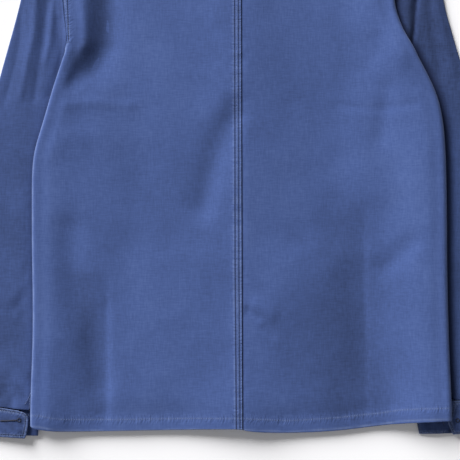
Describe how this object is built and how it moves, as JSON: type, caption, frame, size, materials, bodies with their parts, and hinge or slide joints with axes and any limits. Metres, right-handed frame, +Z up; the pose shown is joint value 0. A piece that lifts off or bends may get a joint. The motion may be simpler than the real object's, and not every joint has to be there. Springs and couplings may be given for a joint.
{
  "type": "chore jacket",
  "caption": "Button-up work jacket of heavy blue cotton with patch pockets, turn-down collar and open cuffs, lying flat on its front with the back up.",
  "frame": {"origin": "middle of the laid garment's footprint, on the ground", "axes": "+Z up out of the back, +Y towards the collar, +X towards the wearer's right sleeve"},
  "size_m": [0.7442, 0.7209, 0.0188],
  "materials": {
    "cloth": "matte, fine brushed nap",
    "button": "satin"
  },
  "bodies": {
    "root": {"back_left": "cloth", "back_right": "cloth", "front_left": "cloth", "front_right": "cloth", "sleeve_left": "cloth", "sleeve_right": "cloth", "cuff_left": "cloth", "cuff_right": "cloth", "collar": "cloth", "pocket_left": "cloth", "pocket_right": "cloth", "button_1": "button", "button_2": "button", "button_3": "button", "button_4": "button", "button_5": "button", "cuff_button_left": "button", "cuff_button_right": "button"}
  },
  "joints": []
}
